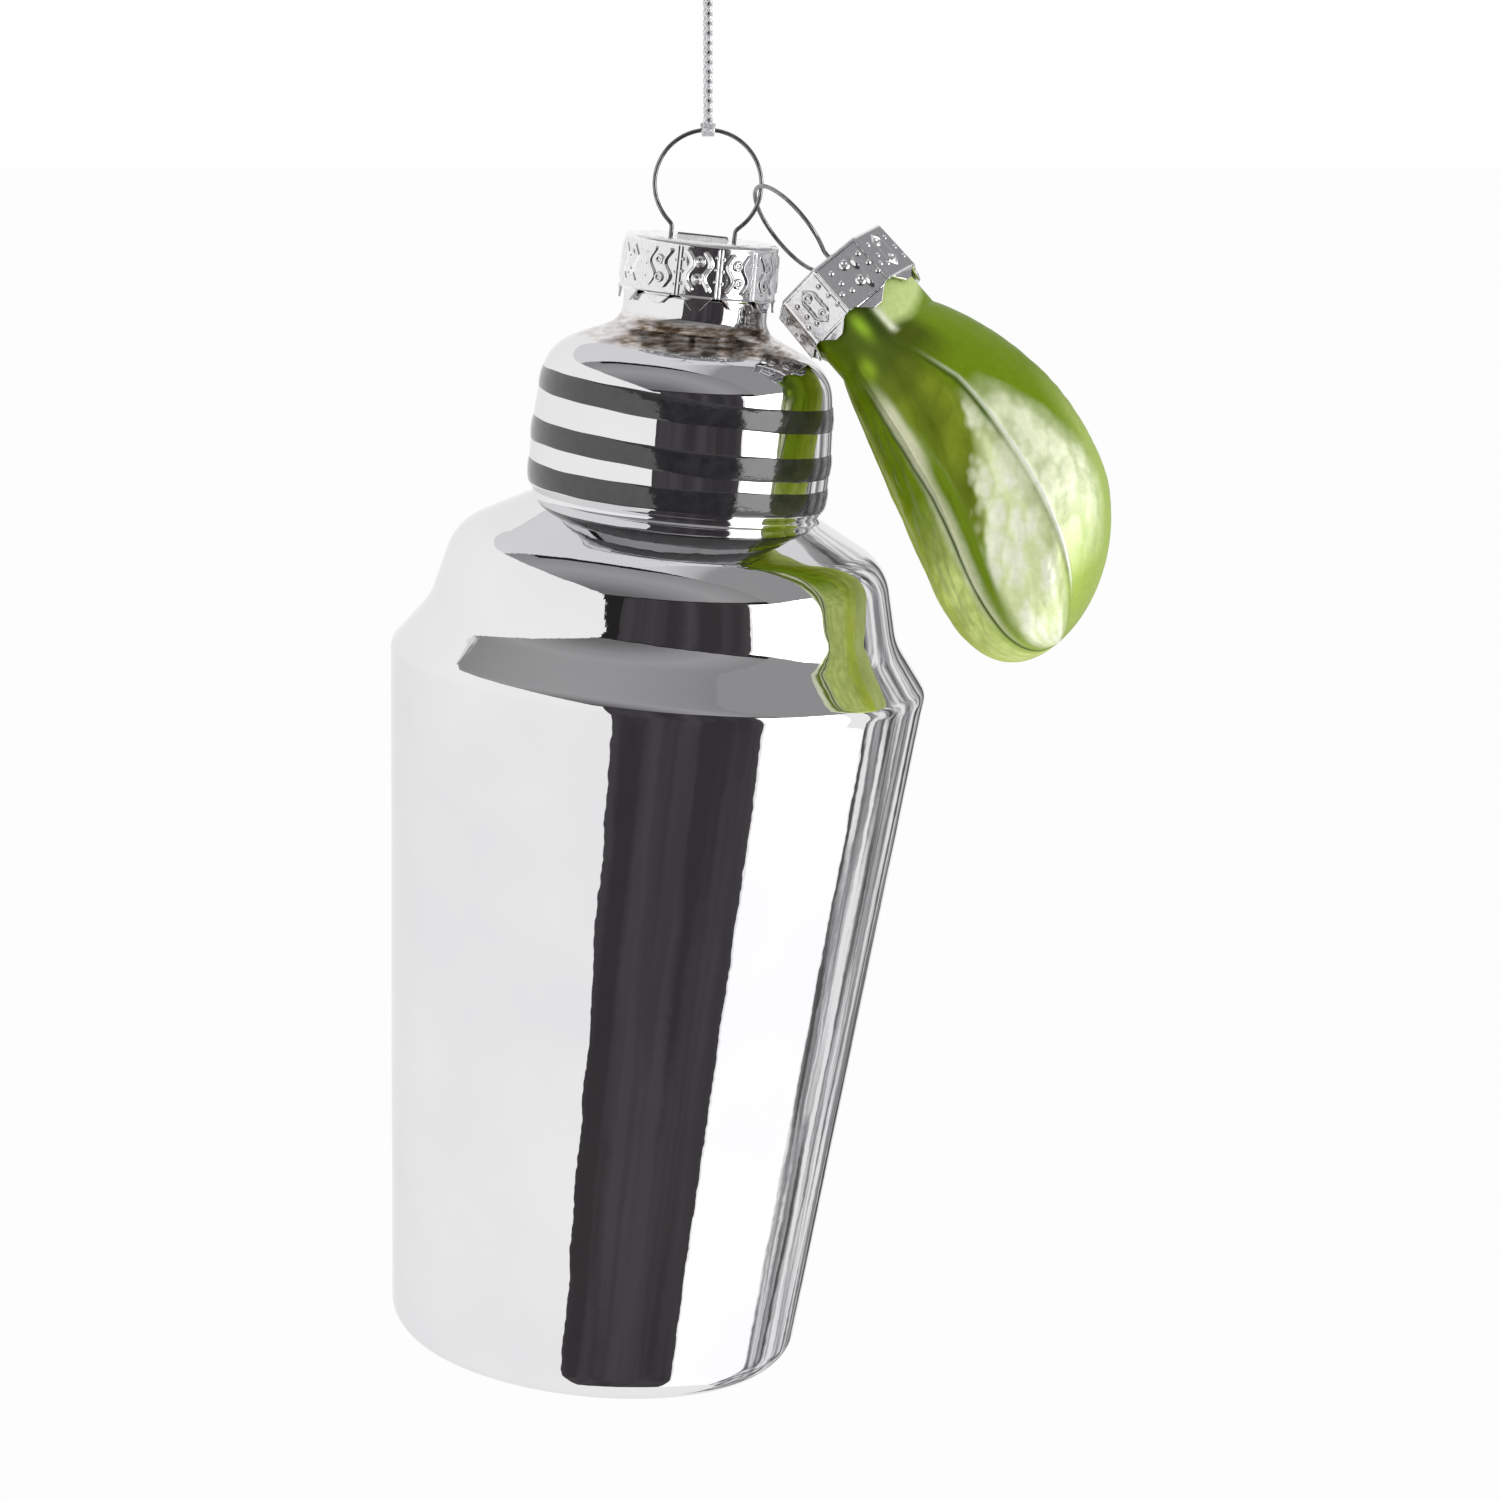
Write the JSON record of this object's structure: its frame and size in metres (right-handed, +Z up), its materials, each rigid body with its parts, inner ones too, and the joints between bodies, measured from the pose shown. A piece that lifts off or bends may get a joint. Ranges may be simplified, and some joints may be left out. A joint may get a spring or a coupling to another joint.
{
  "type": "cocktail shaker ornament",
  "caption": "Hanging blown-glass ornament: a silvered cocktail shaker with a banded lid, stamped cap and wire ring, and a small glass lime wedge linked to the ring.",
  "frame": {"origin": "inside top of the cord's eye, where a hook or branch carries it", "axes": "+Z up, +X to the side that the lime hangs on, the pictured side faces -Y"},
  "size_m": [0.0717, 0.0534, 0.1654],
  "materials": {
    "silvered_glass": "blown glass, silvered inside, polished and slightly wavy",
    "black_enamel": "hand-painted gloss enamel",
    "stamped_cap": "bright stamped tin plate",
    "spring_wire": "bright drawn wire",
    "lime_glass": "lacquered blown glass with a pearly satin sheen",
    "metallic_cord": "twisted metallic thread"
  },
  "bodies": {
    "hanging_loop": {"hanging_cord": "metallic_cord", "cord_hitch": "metallic_cord", "cord_knot": "metallic_cord"},
    "hanger": {"shaker_cap": "stamped_cap", "shaker_hanger": "spring_wire"},
    "shaker": {"shaker_glass": "silvered_glass", "band_upper": "black_enamel", "band_middle": "black_enamel", "band_lower": "black_enamel"},
    "lime_hook": {"lime_cap": "stamped_cap", "lime_hanger": "spring_wire"},
    "lime": {"lime_glass": "lime_glass"}
  },
  "joints": [
    {"name": "ornament_swing", "type": "hinge", "parent": "hanging_loop", "child": "hanger", "pos_m": [0, 0, -0.04], "axis": [1, 0, 0], "range_deg": [-35, 35]},
    {"name": "cap_pull", "type": "slide", "parent": "hanger", "child": "shaker", "axis": [-0.1045, 0, -0.9945], "range_m": [0, 0.02]},
    {"name": "lime_swing", "type": "hinge", "parent": "hanger", "child": "lime_hook", "pos_m": [0.00463, 0, -0.04577], "axis": [0.1399, -0.9132, 0.3828], "range_deg": [0, 75]},
    {"name": "lime_pull", "type": "slide", "parent": "lime_hook", "child": "lime", "axis": [0.648, -0.2079, -0.7327], "range_m": [0, 0.013]}
  ]
}
